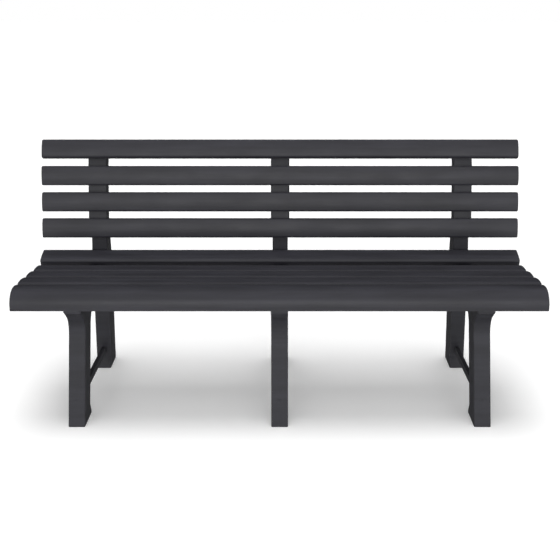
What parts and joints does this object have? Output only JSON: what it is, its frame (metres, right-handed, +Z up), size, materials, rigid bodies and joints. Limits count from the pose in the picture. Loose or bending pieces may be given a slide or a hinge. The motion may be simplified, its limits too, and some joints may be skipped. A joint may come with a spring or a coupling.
{
  "type": "garden bench",
  "caption": "Slatted garden bench in dark moulded resin: bullnose front seat slat, crowned slats, leaning back and moulded leg frames.",
  "frame": {"origin": "on the floor, under the middle of the bench", "axes": "+X along the bench, +Y from the front of the seat to the back, +Z up; a sitter faces -Y"},
  "size_m": [1.455, 0.493, 0.7424],
  "materials": {
    "slat_resin": "semi-gloss, finely textured",
    "frame_resin": "semi-gloss, finely textured",
    "screw_steel": "zinc plated"
  },
  "bodies": {
    "root": {"seat_slat_front": "slat_resin", "seat_slat_2": "slat_resin", "seat_slat_3": "slat_resin", "seat_slat_4": "slat_resin", "seat_slat_rear": "slat_resin", "back_slat_top": "slat_resin", "back_slat_2": "slat_resin", "back_slat_3": "slat_resin", "back_slat_4": "slat_resin", "leg_frame_left": "frame_resin", "leg_frame_centre": "frame_resin", "leg_frame_right": "frame_resin", "back_post_left": "frame_resin", "back_post_centre": "frame_resin", "back_post_right": "frame_resin", "seat_screws_left": "screw_steel", "seat_screws_centre": "screw_steel", "seat_screws_right": "screw_steel", "back_screws_left": "screw_steel", "back_screws_centre": "screw_steel", "back_screws_right": "screw_steel", "post_screws_left": "screw_steel", "post_screws_centre": "screw_steel", "post_screws_right": "screw_steel"}
  },
  "joints": []
}
